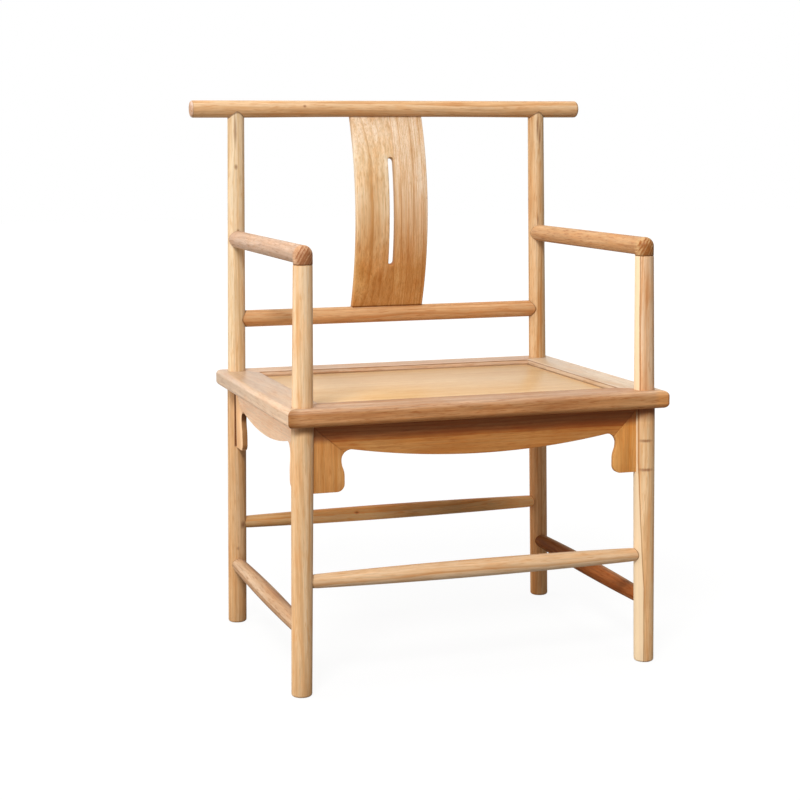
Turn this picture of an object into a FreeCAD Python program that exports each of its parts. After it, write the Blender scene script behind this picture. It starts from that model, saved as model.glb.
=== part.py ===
import FreeCAD, Part
import math
import os
import re
import Sketcher

# Official hat chair: a round-post armchair with a bowed splat and a framed board seat.
# The origin is on the floor at the middle of the chair, +Z is up and the sitter faces -Y.
# Left and right are as seen from the front, so right is +X. Lengths are in millimetres.

# The driving sizes. A name that ends in share is a plain ratio.
SIZES = {
    # Stance: how far inside the seat's sides the posts' axes stand at the floor, how far
    # inside its front and rear edges, and how far they lean inward on the way up.
    "foot_setback": 22.5,
    "post_setback": 29.5,
    "splay_share": 0.015,
    # Heights: the seat and the stretchers' axes above the floor, then the axes of the bars
    # above the seat.
    "seat_height": 432,
    "back_rail_rise": 87,
    "arm_rise": 220,
    "crest_rise": 433,
    "end_stretcher_height": 172,
    "side_stretcher_height": 101,
    # Posts: diameters at the floor, under the seat, in the seat and at the top. Each is
    # straight where bars and boards join it and tapers in between.
    "rear_leg_diameter": 31,
    "rear_seat_diameter": 29.4,
    "rear_top_diameter": 27.4,
    "front_foot_diameter": 31,
    "front_leg_diameter": 33,
    "front_seat_diameter": 31.6,
    "straight_reach": 15,
    "taper_swell": 0.35,
    "rear_taper_share": 0.303,
    "foot_bevel": 2,
    "foot_trim": 0.5,
    "saddle_rim_drop": 5,
    # Round bars of the back and the arms.
    "crest_diameter": 28,
    "crest_length": 684,
    "crest_end_length": 5,
    "crest_end_inset": 5,
    "crest_knee_share": 0.33,
    "back_rail_diameter": 28,
    "arm_diameter": 28,
    "elbow_proud": 0.3,
    # Stretchers: barrel-shaped bars, thickest at the middle.
    "end_stretcher_tip": 20,
    "front_stretcher_belly": 27.2,
    "rear_stretcher_belly": 25.6,
    "side_stretcher_tip": 22.5,
    "side_stretcher_belly": 28.2,
    "stretcher_tip_length": 2,
    # Splat: a strip bowed towards the sitter, with a slot down the middle. It stands a
    # little to the left of the middle of the back.
    "splat_offset": -8,
    "splat_width": 125,
    "splat_thickness": 12,
    "splat_bow": 33,
    "splat_tongue": 8,
    "slot_width": 10,
    "slot_length": 180,
    # Seat frame: four mitred rails with rounded outer edges and a groove for the panel.
    "seat_width": 602,
    "seat_depth": 490,
    "rail_width": 60,
    "rail_thickness": 27,
    "rail_top_round": 8,
    "rail_bottom_round": 8,
    "panel_groove_depth": 6,
    "corner_tenon_width": 7,
    "corner_tenon_thickness": 9,
    "corner_tenon_stop": 15,
    # Seat panel and the battens under it.
    "panel_recess": 8,
    "panel_thickness": 12,
    "panel_tongue_thickness": 6,
    "panel_play": 0.6,
    "batten_width": 26,
    "batten_height": 14,
    "batten_spacing": 210,
    "batten_tenon_length": 10,
    "batten_tenon_thickness": 5,
    # Aprons and the shaped spandrels under the seat. Depths are below the seat frame, and
    # the end depths are those of an apron beside its spandrels' necks.
    "board_thickness": 9,
    "board_seat": 11,
    "front_end_depth": 38.5,
    "front_apron_sag": 17.5,
    "side_end_depth": 33.5,
    "side_apron_sag": 14.5,
    "rear_apron_depth": 34,
    "cove_radius": 15.5,
    "front_left_neck": 46.4,
    "front_right_neck": 36.7,
    "side_neck": 43,
    "toe_step": 4.6,
    "toe_depth": 78,
    "spandrel_depth": 101,
    "toe_round": 12,
    # Joints: square tenons, and the play that lets the pieces go together.
    "tenon_side": 12,
    "tenon_past_axis": 3,
    "tenon_root": 3,
    "tenon_end_gap": 0.5,
    "tenon_fit": 0.15,
    "shoulder_gap": 0.3,
    "cut_overrun": 2,
}

# Places and sizes worked out from the driving ones.
PLACES = {
    "foot_spacing": "seat_width - 2 * foot_setback",
    "post_spacing": "seat_depth - 2 * post_setback",
    "back_rail_height": "seat_height + back_rail_rise",
    "arm_height": "seat_height + arm_rise",
    "crest_height": "seat_height + crest_rise",
    "rear_taper_length": "rear_taper_share * (crest_rise - arm_rise - straight_reach)",
    "frame_bottom": "seat_height - rail_thickness",
    "frame_middle": "seat_height - rail_thickness / 2",
    "elbow_radius": "arm_diameter / 2 + elbow_proud",
    "elbow_bottom": "arm_height - elbow_radius",
    "mortise_depth": "tenon_past_axis + tenon_end_gap",
    "opening_width": "seat_width - 2 * rail_width",
    "opening_depth": "seat_depth - 2 * rail_width",
    "panel_top": "seat_height - panel_recess",
    "panel_bottom": "panel_top - panel_thickness",
    "batten_tenon_low": "panel_bottom - batten_tenon_thickness - shoulder_gap",
    "corner_tenon_far": "rail_width - panel_groove_depth - shoulder_gap",
    "corner_tenon_near": "corner_tenon_far - corner_tenon_width",
    "splat_low": "back_rail_height + back_rail_diameter / 2",
    "splat_high": "crest_height - crest_diameter / 2",
    "splat_middle": "(splat_low + splat_high) / 2",
    "splat_half_rise": "(splat_high - splat_low) / 2",
    "splat_radius": "(pow(splat_half_rise; 2) + pow(splat_bow; 2)) / (2 * splat_bow)",
    "splat_half_angle": "asin(splat_half_rise / splat_radius)",
    "splat_tongue_angle": "asin(splat_tongue / splat_radius)",
    "splat_socket_angle": "asin((splat_tongue + tenon_end_gap) / splat_radius)",
    "board_middle": "frame_bottom - spandrel_depth / 2",
    "cove_cut": "cove_radius * sqrt(0.5)",
}

os.makedirs("parts", exist_ok=True)
doc = FreeCAD.newDocument("official_hat_chair")
sheet = doc.addObject("Spreadsheet::Sheet", "sizes")
for row_number, (size_name, size_value) in enumerate(SIZES.items(), start=1):
    sheet.set(f"A{row_number}", size_name)
    sheet.set(f"B{row_number}", str(size_value))
    sheet.setAlias(f"B{row_number}", size_name)
doc.recompute()

bodies = []


def formula(text):
    """Spell a formula of size names out into one that the document can follow."""
    def spell(match):
        word = match.group()
        if word in PLACES:
            return f"({formula(PLACES[word])})"
        return f"sizes.{word}" if word in SIZES else word
    return re.sub("[a-z_]+", spell, text)


def bind(thing, links):
    """Tie properties of one object to formulas."""
    for path, text in links.items():
        thing.setExpression(path, formula(text))


def measure(text):
    """The value of a formula now, for the first guess of a sketch."""
    value = sheet.evalExpression(formula(text))
    return float(getattr(value, "Value", value))


def axis_at(height):
    """How far a post's axis is from the middle of the chair at one height."""
    return f"(foot_spacing / 2 - splay_share * ({height}))"


def new_body(name, place, turn=0):
    """An empty piece, set down at a place and turned about the vertical."""
    body = doc.addObject("PartDesign::Body", name)
    body.Label = name
    body.Placement = FreeCAD.Placement(FreeCAD.Vector(), FreeCAD.Rotation(turn, 0, 0))
    bind(body, {f"Placement.Base.{axis}": text for axis, text in zip("xyz", place)})
    bodies.append(body)
    return body


def new_sketch(body, name, plane):
    """A sketch on one of the piece's own base planes: XY_Plane, XZ_Plane or YZ_Plane."""
    sketch = body.newObject("Sketcher::SketchObject", name)
    base = next(item for item in body.Origin.OriginFeatures if item.Role == plane)
    sketch.AttachmentSupport = (base, [""])
    sketch.MapMode = "FlatFace"
    return sketch


def draw_outline(sketch, corners, bends=None):
    """Draw a closed outline through corners, each an (across, up) pair of formulas.

    bends maps the number of a corner to (radius, turn) where the edge that leaves it is
    an arc: turn is 1 for an arc that turns left and -1 for one that turns right.
    """
    bends = bends or {}
    spots = [FreeCAD.Vector(measure(across), measure(up), 0) for across, up in corners]
    joints = []
    for number, start in enumerate(spots):
        finish = spots[(number + 1) % len(spots)]
        if number not in bends:
            sketch.addGeometry(Part.LineSegment(start, finish), False)
            joints.append((1, 2))
            continue
        radius_text, turn = bends[number]
        radius = measure(radius_text)
        chord = finish - start
        rise = math.sqrt(max(radius ** 2 - (chord.Length / 2) ** 2, 0))
        left = FreeCAD.Vector(-chord.y, chord.x, 0).normalize()
        centre = (start + finish) / 2 + left * (turn * rise)
        ends = [math.atan2(spot.y - centre.y, spot.x - centre.x) for spot in (start, finish)]
        circle = Part.Circle(centre, FreeCAD.Vector(0, 0, 1), radius)
        sketch.addGeometry(Part.ArcOfCircle(circle, *ends[::turn]), False)
        joints.append((1, 2)[::turn])
        limit = sketch.addConstraint(Sketcher.Constraint("Radius", number, radius))
        bind(sketch, {f"Constraints[{limit}]": radius_text})
    for number, (across, up) in enumerate(corners):
        following = (number + 1) % len(corners)
        sketch.addConstraint(Sketcher.Constraint(
            "Coincident", number, joints[number][1], following, joints[following][0]))
        for kind, text in (("DistanceX", across), ("DistanceY", up)):
            limit = sketch.addConstraint(Sketcher.Constraint(
                kind, -1, 1, number, joints[number][0], measure(text)))
            bind(sketch, {f"Constraints[{limit}]": text})


def pad(body, sketch, length, kind="Pad"):
    """Pad or pocket a sketch by half the length to each side of its plane."""
    feature = body.newObject(f"PartDesign::{kind}", f"{sketch.Name}_{kind.lower()}")
    feature.Profile = sketch
    feature.Midplane = True
    bind(feature, {"Length": length})
    sketch.Visibility = False
    return feature


def spin(body, sketch, axis):
    """Turn a half profile about the sketch's own H_Axis or V_Axis."""
    feature = body.newObject("PartDesign::Revolution", f"{sketch.Name}_turned")
    feature.Profile = sketch
    feature.ReferenceAxis = (sketch, [axis])
    feature.Angle = 360
    sketch.Visibility = False
    return feature


def rod(body, name, kind, diameter, start, length, along):
    """A round tenon (kind Additive) or bore (kind Subtractive) from a start, along an axis."""
    feature = body.newObject(f"PartDesign::{kind}Cylinder", name)
    way = FreeCAD.Rotation(FreeCAD.Vector(0, 0, 1), FreeCAD.Vector(*along))
    feature.Placement = FreeCAD.Placement(FreeCAD.Vector(), way)
    bind(feature, {"Radius": f"({diameter}) / 2", "Height": length})
    bind(feature, {f"Placement.Base.{axis}": text for axis, text in zip("xyz", start)})
    return feature


def block(body, name, kind, centre, size):
    """A square-edged tenon (kind Additive) or mortise (kind Subtractive) about a centre."""
    feature = body.newObject(f"PartDesign::{kind}Box", name)
    bind(feature, dict(zip(("Length", "Width", "Height"), size)))
    for axis, middle, extent in zip("xyz", centre, size):
        bind(feature, {f"Placement.Base.{axis}": f"({middle}) - ({extent}) / 2"})
    return feature


def draw_bow(sketch, body_height, thickness, low_angle, high_angle):
    """Draw the bowed strip of the splat between two angles, seen from the side."""
    across = "splat_radius - splat_bow"
    up = f"splat_middle - ({body_height})"

    def on_arc(radius, angle):
        return (f"{across} - ({radius}) * cos({angle})", f"{up} + ({radius}) * sin({angle})")

    front = f"splat_radius + ({thickness}) / 2"
    rear = f"splat_radius - ({thickness}) / 2"
    corners = [on_arc(front, low_angle), on_arc(front, high_angle),
               on_arc(rear, high_angle), on_arc(rear, low_angle)]
    draw_outline(sketch, corners, {0: (front, -1), 2: (rear, 1)})


def swelling(start, finish):
    """The radius of the slight swell between two (diameter, height) pairs of a post."""
    across = f"(({start[0]} - {finish[0]}) / 2)"
    up = f"({finish[1]} - ({start[1]}))"
    return f"(pow({across}; 2) + pow({up}; 2)) / (8 * taper_swell) + taper_swell / 2"


def make_post(name, side, row, leg, stem, swells):
    """A turned post: a leg with a shoulder under the seat, then a slimmer stem.

    leg and stem list (diameter, height) pairs from the floor up, and swells the numbers of
    the corners from which the outline swells rather than running straight.
    """
    body = new_body(name, (f"{side} * foot_spacing / 2", f"{row} * post_spacing / 2", "0"))
    profile = new_sketch(body, f"{name}_profile", "XZ_Plane")
    bind(profile, {"AttachmentOffset.Rotation.Angle": f"{side} * atan(splay_share)"})
    foot = leg[0][0]
    turning = leg + stem
    corners = [("0", "-foot_trim"), (f"{foot} / 2 - foot_bevel", "-foot_trim")]
    bends = {len(corners) + number: (swelling(turning[number], turning[number + 1]), 1)
             for number in swells}
    corners += [(f"{diameter} / 2", height) for diameter, height in turning]
    draw_outline(profile, corners + [("0", stem[-1][1])], bends)
    spin(body, profile, "V_Axis")
    block(body, f"{name}_sole", "Subtractive", ("0", "0", "-cut_overrun"),
          (f"2 * {foot}", f"2 * {foot}", "2 * cut_overrun"))
    return body


def scribe_end(body, name, spot, along, post):
    """Scribe one end of a bar to a post and give it a square tenon that runs on into it.

    spot is where the bar's axis meets the post's, and along the way into the post.
    """
    rod(body, f"{name}_scribe", "Subtractive", f"{post} + 2 * shoulder_gap",
        (spot[0], spot[1], f"-{post}"), f"2 * {post}", (0, 0, 1))
    root = f"({post} / 2 + tenon_root)"
    centre = [f"{place} + {way} * (tenon_past_axis - {root}) / 2"
              for place, way in zip(spot, along)]
    size = [f"({root} + tenon_past_axis)" if way else "tenon_side" for way in along]
    block(body, f"{name}_tenon", "Additive", centre + ["0"], size + ["tenon_side"])


def cut_mortise(body, name, side, height, toward):
    """Cut the square mortise for a bar that comes to a post from the given side."""
    centre = [f"{start} + {way} * (front_leg_diameter - mortise_depth) / 2"
              for start, way in zip((f"{-side} * splay_share * {height}", "0"), toward)]
    size = ["(front_leg_diameter + mortise_depth)" if way else "tenon_side + 2 * tenon_fit"
            for way in toward]
    block(body, name, "Subtractive", centre + [height], size + ["tenon_side + 2 * tenon_fit"])


def add_top_tenon(body, name, side, root, axis_height):
    """Give a post the square tenon that goes up into the bar on top of it."""
    top = f"({axis_height} + tenon_past_axis)"
    block(body, name, "Additive",
          (f"{-side} * splay_share * {axis_height}", "0", f"({top} + ({root})) / 2"),
          ("tenon_side", "tenon_side", f"{top} - ({root})"))


def cut_top_mortise(body, name, spot, bar):
    """Cut the square mortise in a bar's underside for the top of a post."""
    height = f"({bar} + mortise_depth)"
    side = "tenon_side + 2 * tenon_fit"
    block(body, name, "Subtractive", (*spot, f"mortise_depth - {height} / 2"),
          (side, side, height))


def cut_board_groove(body, name, side, toward, lean_height, depth):
    """Cut the stopped groove that takes the end of an apron or spandrel."""
    towards_x, towards_y = toward
    reach = "(board_seat + front_leg_diameter / 2)"
    width = "board_thickness + 2 * tenon_fit"
    height = f"({depth} + tenon_fit + cut_overrun)"
    block(body, name, "Subtractive",
          (f"{-side} * splay_share * {lean_height} + {towards_x} * {reach}",
           f"{towards_y} * {reach}", f"frame_bottom + cut_overrun - {height} / 2"),
          ("front_leg_diameter" if towards_x else width,
           "front_leg_diameter" if towards_y else width, height))


def make_rear_post(name, side):
    """A rear post, from the floor up to the crest rail that it is scribed around."""
    leg = [("rear_leg_diameter", "foot_bevel - foot_trim"),
           ("rear_leg_diameter", "frame_bottom - shoulder_gap")]
    stem = [("rear_seat_diameter", "frame_bottom - shoulder_gap"),
            ("rear_seat_diameter", "arm_height + straight_reach"),
            ("rear_top_diameter", "arm_height + straight_reach + rear_taper_length"),
            ("rear_top_diameter", "crest_height - saddle_rim_drop")]
    body = make_post(name, side, 1, leg, stem, [])
    inward, forward = (-side, 0), (0, -1)
    cut_mortise(body, f"{name}_arm_mortise", side, "arm_height", forward)
    cut_mortise(body, f"{name}_back_mortise", side, "back_rail_height", inward)
    cut_mortise(body, f"{name}_rear_mortise", side, "end_stretcher_height", inward)
    cut_mortise(body, f"{name}_side_mortise", side, "side_stretcher_height", forward)
    cut_board_groove(body, f"{name}_apron_groove", side, inward, "frame_bottom",
                     "rear_apron_depth")
    cut_board_groove(body, f"{name}_spandrel_groove", side, forward, "board_middle",
                     "spandrel_depth")
    lean = f"{-side} * splay_share * crest_height"
    rod(body, f"{name}_saddle", "Subtractive", "crest_diameter + 2 * shoulder_gap",
        (f"{lean} - rear_leg_diameter", "0", "crest_height"), "2 * rear_leg_diameter", (1, 0, 0))
    add_top_tenon(body, f"{name}_tenon", side, "splat_high - tenon_root", "crest_height")


def make_front_post(name, side):
    """A front post, from the floor up to the elbow of the arm."""
    leg = [("front_foot_diameter", "foot_bevel - foot_trim"),
           ("front_foot_diameter", "end_stretcher_height + straight_reach"),
           ("front_leg_diameter", "frame_bottom - spandrel_depth - straight_reach"),
           ("front_leg_diameter", "frame_bottom - shoulder_gap")]
    stem = [("front_seat_diameter", "frame_bottom - shoulder_gap"),
            ("front_seat_diameter", "seat_height"),
            ("(2 * elbow_radius)", "elbow_bottom - shoulder_gap")]
    body = make_post(name, side, -1, leg, stem, [1, 5])
    inward, backward = (-side, 0), (0, 1)
    cut_mortise(body, f"{name}_front_mortise", side, "end_stretcher_height", inward)
    cut_mortise(body, f"{name}_side_mortise", side, "side_stretcher_height", backward)
    cut_board_groove(body, f"{name}_front_groove", side, inward, "frame_bottom",
                     "spandrel_depth")
    cut_board_groove(body, f"{name}_side_groove", side, backward, "board_middle",
                     "spandrel_depth")
    add_top_tenon(body, f"{name}_tenon", side, "elbow_bottom - tenon_root", "arm_height")


def make_arm(name, side):
    """An arm: a round bar scribed to the rear post, with an elbow that caps the front post."""
    body = new_body(name, (f"{side} * {axis_at('arm_height')}", "0", "arm_height"))
    half = "post_spacing / 2"
    rod(body, f"{name}_bar", "Additive", "arm_diameter", ("0", f"-{half}", "0"),
        "post_spacing", (0, 1, 0))
    elbow = new_sketch(body, f"{name}_elbow", "XZ_Plane")
    bind(elbow, {"AttachmentOffset.Base.z": half})
    draw_outline(elbow, [
        ("0", "-elbow_radius"), ("elbow_radius", "-elbow_radius"), ("elbow_radius", "0"),
        ("0", "elbow_radius")], {2: ("elbow_radius", 1)})
    spin(body, elbow, "V_Axis")
    scribe_end(body, name, ("0", half), (0, 1), "rear_seat_diameter")
    cut_top_mortise(body, f"{name}_mortise", ("0", f"-{half}"), "arm_diameter")


def make_back_rail():
    """The round rail between the rear posts that holds the foot of the splat."""
    body = new_body("back_rail", ("0", "post_spacing / 2", "back_rail_height"))
    half = axis_at("back_rail_height")
    rod(body, "back_rail_bar", "Additive", "back_rail_diameter", (f"-{half}", "0", "0"),
        f"2 * {half}", (1, 0, 0))
    for end, word in ((-1, "left"), (1, "right")):
        scribe_end(body, f"back_rail_{word}", (f"{end} * {half}", "0"), (end, 0),
                   "rear_seat_diameter")
    cut_splat_socket(body, "back_rail_height", "-splat_half_angle", -1)


def cut_splat_socket(body, height, surface_angle, way):
    """Cut the bowed mortise that takes one tongue of the splat."""
    socket = new_sketch(body, f"{body.Label}_splat_socket", "YZ_Plane")
    mouth = f"{surface_angle} - {way} * splat_tongue_angle"
    floor = f"{surface_angle} + {way} * splat_socket_angle"
    angles = (mouth, floor)[::way]
    draw_bow(socket, height, "splat_thickness + 2 * tenon_fit", *angles)
    pad(body, socket, "splat_width + 2 * tenon_fit", "Pocket")
    bind(socket, {"AttachmentOffset.Base.z": "splat_offset"})


def make_crest_rail():
    """The top rail, a round bar that runs out past the posts to softly rounded ends."""
    body = new_body("crest_rail", ("0", "post_spacing / 2", "crest_height"))
    profile = new_sketch(body, "crest_profile", "XZ_Plane")
    tip, radius = "crest_length / 2", "crest_diameter / 2"
    knee = [f"crest_knee_share * {size}" for size in ("crest_end_length", "crest_end_inset")]
    draw_outline(profile, [
        (f"-{tip}", "0"), (f"-{tip}", f"{radius} - crest_end_inset"),
        (f"{knee[0]} - {tip}", f"{radius} - {knee[1]}"), (f"crest_end_length - {tip}", radius),
        (f"{tip} - crest_end_length", radius), (f"{tip} - {knee[0]}", f"{radius} - {knee[1]}"),
        (tip, f"{radius} - crest_end_inset"), (tip, "0")])
    spin(body, profile, "H_Axis")
    for end, word in ((-1, "left"), (1, "right")):
        cut_top_mortise(body, f"crest_mortise_{word}",
                        (f"{end} * {axis_at('crest_height')}", "0"), "crest_diameter")
    cut_splat_socket(body, "crest_height", "splat_half_angle", 1)


def make_splat():
    """The bowed splat with its round-ended slot and a tongue at each end."""
    body = new_body("splat", ("splat_offset", "post_spacing / 2", "splat_middle"))
    strip = new_sketch(body, "splat_strip", "YZ_Plane")
    reach = "splat_half_angle + splat_tongue_angle"
    draw_bow(strip, "splat_middle", "splat_thickness", f"-({reach})", reach)
    pad(body, strip, "splat_width")
    through = "2 * (splat_bow + splat_thickness)"
    straight = "(slot_length - slot_width)"
    block(body, "slot_sides", "Subtractive", ("0", "0", "0"), ("slot_width", through, straight))
    for end, word in ((-1, "low"), (1, "high")):
        rod(body, f"slot_end_{word}", "Subtractive", "slot_width",
            ("0", f"-{through} / 2", f"{end} * {straight} / 2"), through, (0, 1, 0))


def make_seat_rail(name, length, place, turn, corner, end_posts, is_long):
    """A mitred rail of the seat frame: x runs along it and y inward from its outer face."""
    body = new_body(name, place, turn)
    profile = new_sketch(body, f"{name}_profile", "YZ_Plane")
    low, high = "frame_bottom", "seat_height"
    groove_low = "panel_bottom - tenon_fit"
    groove_high = "panel_bottom + panel_tongue_thickness + tenon_fit"
    floor = "rail_width - panel_groove_depth"
    draw_outline(profile, [
        ("rail_bottom_round", low), ("rail_width", low),
        ("rail_width", groove_low), (floor, groove_low),
        (floor, groove_high), ("rail_width", groove_high),
        ("rail_width", high), ("rail_top_round", high),
        ("0", f"{high} - rail_top_round"), ("0", f"{low} + rail_bottom_round")],
        {7: ("rail_top_round", 1), 9: ("rail_bottom_round", 1)})
    pad(body, profile, length)
    beyond = "(rail_width + cut_overrun)"
    for end, word, post in ((-1, "start", end_posts[0]), (1, "finish", end_posts[1])):
        mitre = new_sketch(body, f"{name}_mitre_{word}", "XY_Plane")
        draw_outline(mitre, [
            (f"{end} * {length} / 2", "0"),
            (f"{end} * ({length} / 2 + cut_overrun)", "0"),
            (f"{end} * ({length} / 2 + cut_overrun)", beyond),
            (f"{end} * ({length} / 2 - {beyond})", beyond)])
        pad(body, mitre, "2 * seat_height + cut_overrun", "Pocket")
        tenon_middle = "(corner_tenon_near + corner_tenon_far) / 2"
        if is_long:
            depth = "(rail_width - corner_tenon_stop + tenon_end_gap)"
            block(body, f"{name}_mortise_{word}", "Subtractive",
                  (f"{end} * ({length} / 2 - {tenon_middle})",
                   f"rail_width - {depth} / 2", "frame_middle"),
                  ("corner_tenon_width + 2 * tenon_fit", depth,
                   "corner_tenon_thickness + 2 * tenon_fit"))
        else:
            reach = "(rail_width + tenon_root - corner_tenon_stop)"
            block(body, f"{name}_tenon_{word}", "Additive",
                  (f"{end} * ({length} / 2 - corner_tenon_stop - {reach} / 2)",
                   tenon_middle, "frame_middle"),
                  (reach, "corner_tenon_width", "corner_tenon_thickness"))
        rod(body, f"{name}_post_hole_{word}", "Subtractive", f"{post} + 2 * shoulder_gap",
            (f"{end} * ({length} / 2 - {corner[0]})", corner[1], "frame_bottom - cut_overrun"),
            "rail_thickness + 2 * cut_overrun", (0, 0, 1))
    return body


def make_seat_frame():
    """The four rails of the seat frame, with the mortises of the panel's battens."""
    from_side = f"(seat_width / 2 - {axis_at('frame_middle')})"
    from_end = "((seat_depth - post_spacing) / 2)"
    front, rear = "front_seat_diameter", "rear_seat_diameter"
    for name, row, post in (("seat_rail_front", -1, front), ("seat_rail_rear", 1, rear)):
        rail = make_seat_rail(name, "seat_width", ("0", f"{row} * seat_depth / 2", "0"),
                              90 * (row + 1), (from_side, from_end), (post, post), True)
        for end, word in ((-1, "start"), (1, "finish")):
            depth = "batten_tenon_length + tenon_end_gap"
            block(rail, f"{name}_batten_mortise_{word}", "Subtractive",
                  (f"{end} * batten_spacing / 2", f"rail_width - ({depth}) / 2",
                   "batten_tenon_low + batten_tenon_thickness / 2"),
                  ("batten_width + 2 * tenon_fit", depth,
                   "batten_tenon_thickness + 2 * tenon_fit"))
    make_seat_rail("seat_rail_right", "seat_depth", ("seat_width / 2", "0", "0"), 90,
                   (from_end, from_side), (front, rear), False)
    make_seat_rail("seat_rail_left", "seat_depth", ("-seat_width / 2", "0", "0"), -90,
                   (from_end, from_side), (rear, front), False)


def make_seat_panel():
    """The board of the seat, held by a thinner tongue all round that sits in the grooves."""
    body = new_body("seat_panel", ("0", "0", "panel_bottom"))
    block(body, "panel_field", "Additive", ("0", "0", "panel_thickness / 2"),
          ("opening_width - 2 * panel_play", "opening_depth - 2 * panel_play",
           "panel_thickness"))
    spread = "2 * (panel_groove_depth - tenon_end_gap)"
    block(body, "panel_tongue", "Additive", ("0", "0", "panel_tongue_thickness / 2"),
          (f"opening_width + {spread}", f"opening_depth + {spread}", "panel_tongue_thickness"))


def make_batten(name, side):
    """A batten under the panel, tenoned into the front and rear rails."""
    body = new_body(name, (f"{side} * batten_spacing / 2", "0", "0"))
    block(body, f"{name}_bar", "Additive", ("0", "0", "panel_bottom - batten_height / 2"),
          ("batten_width", "opening_depth", "batten_height"))
    block(body, f"{name}_tenons", "Additive",
          ("0", "0", "batten_tenon_low + batten_tenon_thickness / 2"),
          ("batten_width", "opening_depth + 2 * batten_tenon_length", "batten_tenon_thickness"))


def make_apron(name, place, turn, half_length, necks, depth, sag):
    """An apron whose lower edge bellies down, mitred to the spandrel at each end.

    necks holds the widths of the spandrels' necks at its -X and +X ends, as drawn.
    """
    body = new_body(name, place, turn)
    board = new_sketch(body, f"{name}_board", "XZ_Plane")
    start, finish = (f"({half_length} - {neck} - cove_radius)" for neck in necks)
    top = f"(frame_bottom - {depth})"
    mitre = f"{top} - cove_radius + cove_cut"
    span = f"(({start} + {finish}) / 2)"
    draw_outline(board, [
        (half_length, "frame_bottom"), (f"-{half_length}", "frame_bottom"),
        (f"-({start} + cove_cut)", mitre), (f"-{start}", top),
        (finish, top), (f"{finish} + cove_cut", mitre)],
        {2: ("cove_radius", -1), 4: ("cove_radius", -1),
         3: (f"(pow({span}; 2) + pow({sag}; 2)) / (2 * {sag})", 1)})
    pad(body, board, "board_thickness")


def make_spandrel(name, place, turn, half_length, end, neck, depth):
    """A spandrel: mitred to the apron, hollowed at the neck and swelling to a rounded toe."""
    body = new_body(name, place, turn)
    board = new_sketch(body, f"{name}_board", "XZ_Plane")
    foot = "frame_bottom - spandrel_depth"
    cove = f"{half_length} - {neck} - cove_radius"
    neck_edge = f"{half_length} - {neck}"
    toe = f"{neck_edge} - toe_step"
    hollow = f"frame_bottom - {depth} - cove_radius"
    drop = f"(toe_depth - {depth} - cove_radius)"
    corners = [
        (half_length, foot), (half_length, "frame_bottom"),
        (f"{cove} + cove_cut", f"{hollow} + cove_cut"), (neck_edge, hollow),
        (f"{neck_edge} - toe_step / 2", f"{hollow} - {drop} / 2"),
        (toe, "frame_bottom - toe_depth"), (toe, f"{foot} + toe_round"),
        (f"{toe} + toe_round", foot)]
    curve = f"(pow(toe_step; 2) + pow({drop}; 2)) / (4 * toe_step)"
    draw_outline(board, [(f"{end} * ({across})", up) for across, up in corners],
                 {2: ("cove_radius", -end), 3: (curve, -end),
                  4: (curve, end), 6: ("toe_round", end)})
    pad(body, board, "board_thickness")


def make_rear_apron():
    """The plain straight apron between the rear posts."""
    body = new_body("apron_rear", ("0", "post_spacing / 2", "0"))
    half = f"({axis_at('frame_bottom')} - board_seat)"
    block(body, "apron_rear_board", "Additive",
          ("0", "0", "frame_bottom - rear_apron_depth / 2"),
          (f"2 * {half}", "board_thickness", "rear_apron_depth"))


def make_stretcher(name, place, turn, half_length, posts, tip, belly):
    """A barrel-shaped stretcher, scribed and tenoned into a post at each end.

    posts holds the diameters of the posts at its -X and +X ends, as drawn.
    """
    body = new_body(name, place, turn)
    profile = new_sketch(body, f"{name}_profile", "XZ_Plane")
    clear = f"({half_length} - {posts[0]} / 2 - stretcher_tip_length)"
    swell = f"(({belly} - {tip}) / 2)"
    draw_outline(profile, [
        (f"-{half_length}", "0"), (f"-{half_length}", f"{tip} / 2"), (f"-{clear}", f"{tip} / 2"),
        (clear, f"{tip} / 2"), (half_length, f"{tip} / 2"), (half_length, "0")],
        {2: (f"(pow({clear}; 2) + pow({swell}; 2)) / (2 * {swell})", -1)})
    spin(body, profile, "H_Axis")
    for end, word, post in ((-1, "start", posts[0]), (1, "finish", posts[1])):
        scribe_end(body, f"{name}_{word}", (f"{end} * {half_length}", "0"), (end, 0), post)


for side_word, side_sign in (("left", -1), ("right", 1)):
    make_rear_post(f"rear_post_{side_word}", side_sign)
    make_front_post(f"front_post_{side_word}", side_sign)
    make_arm(f"arm_{side_word}", side_sign)
make_crest_rail()
make_back_rail()
make_splat()

make_seat_frame()
make_seat_panel()
make_batten("seat_batten_left", -1)
make_batten("seat_batten_right", 1)

front_half = f"({axis_at('frame_bottom')} - board_seat)"
front_place = ("0", "-post_spacing / 2", "0")
front_necks = ("front_left_neck", "front_right_neck")
make_apron("apron_front", front_place, 0, front_half, front_necks, "front_end_depth",
           "front_apron_sag")
for side_word, side_sign, neck in (("left", -1, front_necks[0]), ("right", 1, front_necks[1])):
    make_spandrel(f"spandrel_front_{side_word}", front_place, 0, front_half, side_sign, neck,
                  "front_end_depth")
make_rear_apron()
side_half = "(post_spacing / 2 - board_seat)"
for side_word, side_sign in (("left", -1), ("right", 1)):
    side_place = (f"{side_sign} * {axis_at('board_middle')}", "0", "0")
    make_apron(f"apron_{side_word}", side_place, 90, side_half, ("side_neck", "side_neck"),
               "side_end_depth", "side_apron_sag")
    for row_word, row_sign in (("front", -1), ("rear", 1)):
        make_spandrel(f"spandrel_{side_word}_{row_word}", side_place, 90, side_half, row_sign,
                      "side_neck", "side_end_depth")

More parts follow.
